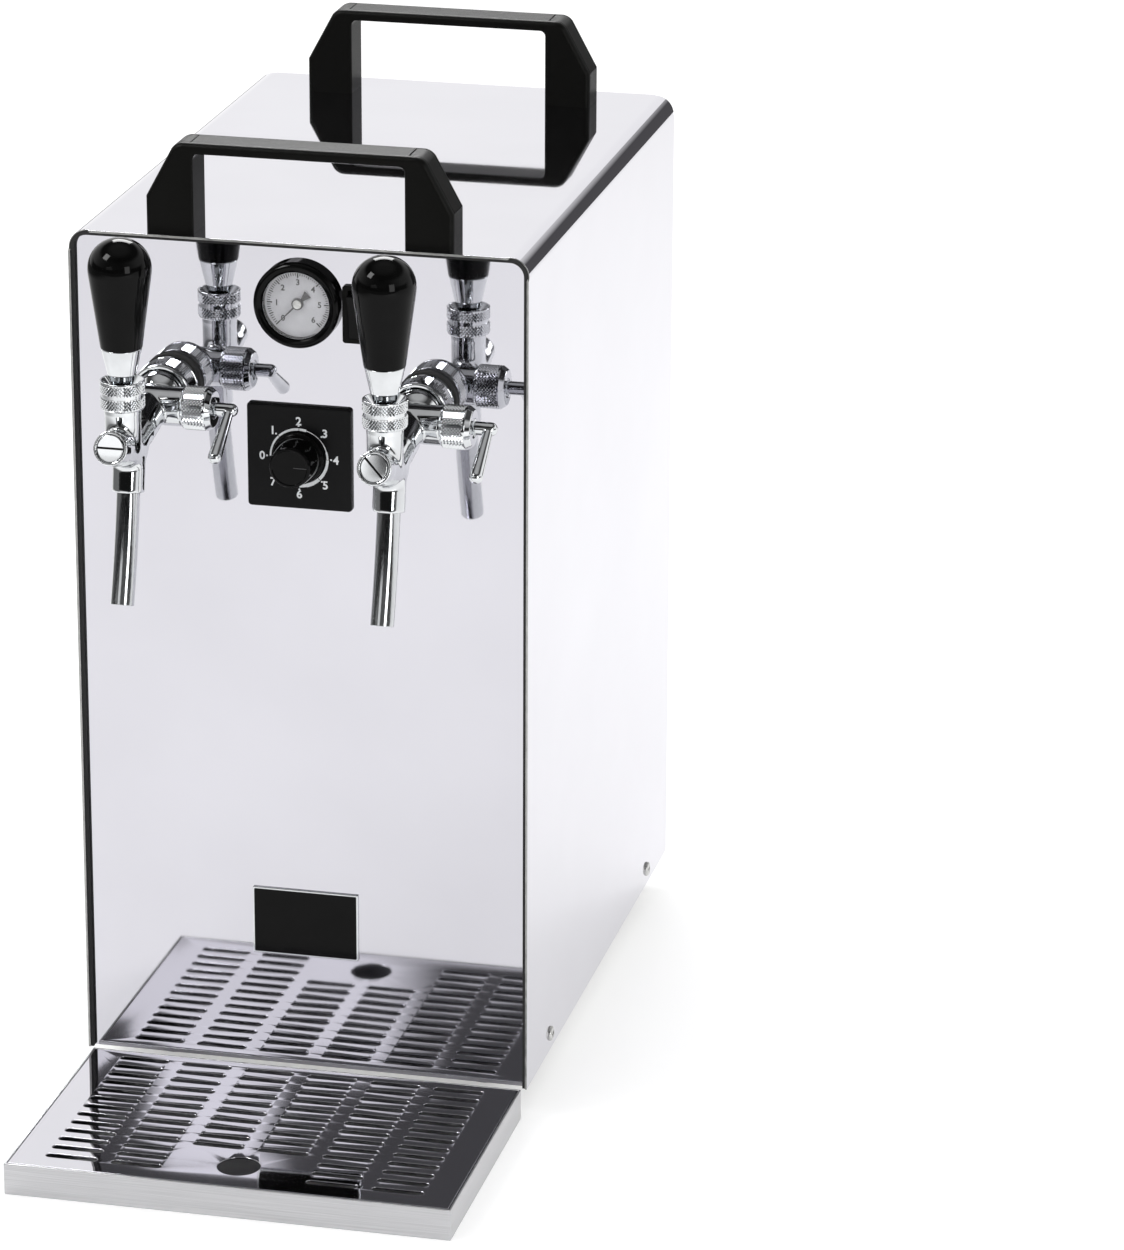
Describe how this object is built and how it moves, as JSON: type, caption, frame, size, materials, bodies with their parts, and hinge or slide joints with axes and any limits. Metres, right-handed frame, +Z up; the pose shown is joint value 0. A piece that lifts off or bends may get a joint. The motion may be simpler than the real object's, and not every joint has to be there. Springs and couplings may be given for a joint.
{
  "type": "draft beer dispenser",
  "caption": "Table-top beer cooler with a polished casing, carrying handles, gauge, thermostat knob, lever taps with compensators and a slotted drip tray.",
  "frame": {"origin": "centre of the whole footprint, casing, drip tray and rear fittings together, on the surface it stands on", "axes": "+X across the front to the user's right, +Y from front to back, +Z up"},
  "size_m": [0.243, 0.5194, 0.514],
  "materials": {
    "polished_steel": "mirror-polished stainless sheet",
    "brushed_steel": "brushed stainless",
    "bare_steel": "plain zinc-plated steel",
    "chrome": "bright chrome plate",
    "brass": "turned brass",
    "rubber": "matt black rubber",
    "black_plastic": "fine-grained black plastic",
    "black_gloss": "glossy black plastic",
    "dial_white": "printed white dial",
    "glass": "clear flat lens",
    "pointer_grey": "dark grey paint",
    "white_plastic": "white plastic",
    "blue_plastic": "blue plastic",
    "aluminium": "cast and finned aluminium",
    "dark_paint": "black enamel"
  },
  "bodies": {
    "cabinet": {"air_line": "white_plastic", "air_outlet": "blue_plastic", "air_pump": "dark_paint", "badge_plate": "black_gloss", "base_pan": "bare_steel", "beer_inlets": "white_plastic", "beer_lines": "white_plastic", "cable_gland": "black_plastic", "casing_wrap": "polished_steel", "comp_nuts": "chrome", "compressor_grommets": "rubber", "compressor_pot": "dark_paint", "condenser": "aluminium", "cooling_block": "aluminium", "coupling_nuts": "chrome", "fan_frame": "black_plastic", "feet": "rubber", "front_handle": "black_plastic", "front_panel": "polished_steel", "gauge_case": "black_gloss", "gauge_dial": "dial_white", "gauge_lens": "glass", "gauge_ring_nut": "bare_steel", "handle_caps": "black_plastic", "handle_screws": "bare_steel", "rear_handle": "black_plastic", "rear_panel": "polished_steel", "shank_left": "chrome", "shank_nuts": "brass", "shank_right": "chrome", "shelf": "bare_steel", "side_screws": "bare_steel", "spout_left": "brushed_steel", "spout_right": "brushed_steel", "switch_housing": "black_plastic", "tap_body_left": "chrome", "tap_body_right": "chrome", "tap_collars": "chrome", "tap_plugs": "chrome", "tap_washers": "rubber", "thermostat_body": "black_plastic", "thermostat_plate": "black_plastic"},
    "left_handle": {"tap_lever_left": "chrome", "tap_grip_left": "black_gloss"},
    "right_handle": {"tap_lever_right": "chrome", "tap_grip_right": "black_gloss"},
    "left_piston": {"tap_piston_left": "white_plastic"},
    "right_piston": {"tap_piston_right": "white_plastic"},
    "left_compensator": {"comp_lever_left": "chrome"},
    "right_compensator": {"comp_lever_right": "chrome"},
    "left_cone": {"flow_cone_left": "white_plastic"},
    "right_cone": {"flow_cone_right": "white_plastic"},
    "thermostat_dial": {"thermostat_knob": "black_gloss", "thermostat_shaft": "bare_steel"},
    "rocker": {"switch_rocker": "black_gloss"},
    "pointer": {"gauge_pointer": "pointer_grey"},
    "tray": {"drip_tray": "brushed_steel"},
    "grille": {"drip_grille": "polished_steel"},
    "fan": {"fan_blades": "black_plastic"}
  },
  "joints": [
    {"name": "left_tap_handle", "type": "hinge", "parent": "cabinet", "child": "left_handle", "pos_m": [-0.067, -0.1888, 0.407], "axis": [1, 0, 0], "range_deg": [-5, 15]},
    {"name": "left_valve_piston", "type": "slide", "parent": "cabinet", "child": "left_piston", "axis": [0, 0.9511, -0.309], "range_m": [-0.0027, 0.0079]},
    {"name": "left_compensator_lever", "type": "hinge", "parent": "cabinet", "child": "left_compensator", "pos_m": [-0.067, -0.1399, 0.3875], "axis": [1, 0, 0], "range_deg": [-90, 45]},
    {"name": "left_flow_cone", "type": "slide", "parent": "cabinet", "child": "left_cone", "axis": [0, 1, 0], "range_m": [-0.0013, 0.0026]},
    {"name": "right_tap_handle", "type": "hinge", "parent": "cabinet", "child": "right_handle", "pos_m": [0.067, -0.1888, 0.407], "axis": [1, 0, 0], "range_deg": [-5, 15]},
    {"name": "right_valve_piston", "type": "slide", "parent": "cabinet", "child": "right_piston", "axis": [0, 0.9511, -0.309], "range_m": [-0.0027, 0.0079]},
    {"name": "right_compensator_lever", "type": "hinge", "parent": "cabinet", "child": "right_compensator", "pos_m": [0.067, -0.1399, 0.3875], "axis": [1, 0, 0], "range_deg": [-90, 45]},
    {"name": "right_flow_cone", "type": "slide", "parent": "cabinet", "child": "right_cone", "axis": [0, 1, 0], "range_m": [-0.0013, 0.0026]},
    {"name": "thermostat_turn", "type": "hinge", "parent": "cabinet", "child": "thermostat_dial", "pos_m": [0, -0.1043, 0.3545], "axis": [0, 1, 0], "range_deg": [-180, 135]},
    {"name": "power_rocker", "type": "hinge", "parent": "cabinet", "child": "rocker", "pos_m": [0.0342, -0.1027, 0.4315], "axis": [1, 0, 0], "range_deg": [-20, 0]},
    {"name": "gauge_needle", "type": "hinge", "parent": "cabinet", "child": "pointer", "pos_m": [0, -0.1043, 0.4353], "axis": [0, 1, 0], "range_deg": [0, 270]},
    {"name": "tray_pull", "type": "slide", "parent": "cabinet", "child": "tray", "axis": [0, -1, 0], "range_m": [0, 0.25]},
    {"name": "grille_lift", "type": "slide", "parent": "tray", "child": "grille", "axis": [0, 0, 1], "range_m": [0, 0.12]},
    {"name": "fan_spin", "type": "hinge", "parent": "cabinet", "child": "fan", "pos_m": [0, 0.1915, 0.1062], "axis": [0, 1, 0], "continuous": true}
  ],
  "couplings": [
    {"joint": "left_valve_piston", "follows": "left_tap_handle", "m_per_rad": 0.0294},
    {"joint": "left_flow_cone", "follows": "left_compensator_lever", "m_per_rad": -0.00157},
    {"joint": "right_valve_piston", "follows": "right_tap_handle", "m_per_rad": 0.0294},
    {"joint": "right_flow_cone", "follows": "right_compensator_lever", "m_per_rad": -0.00157}
  ]
}
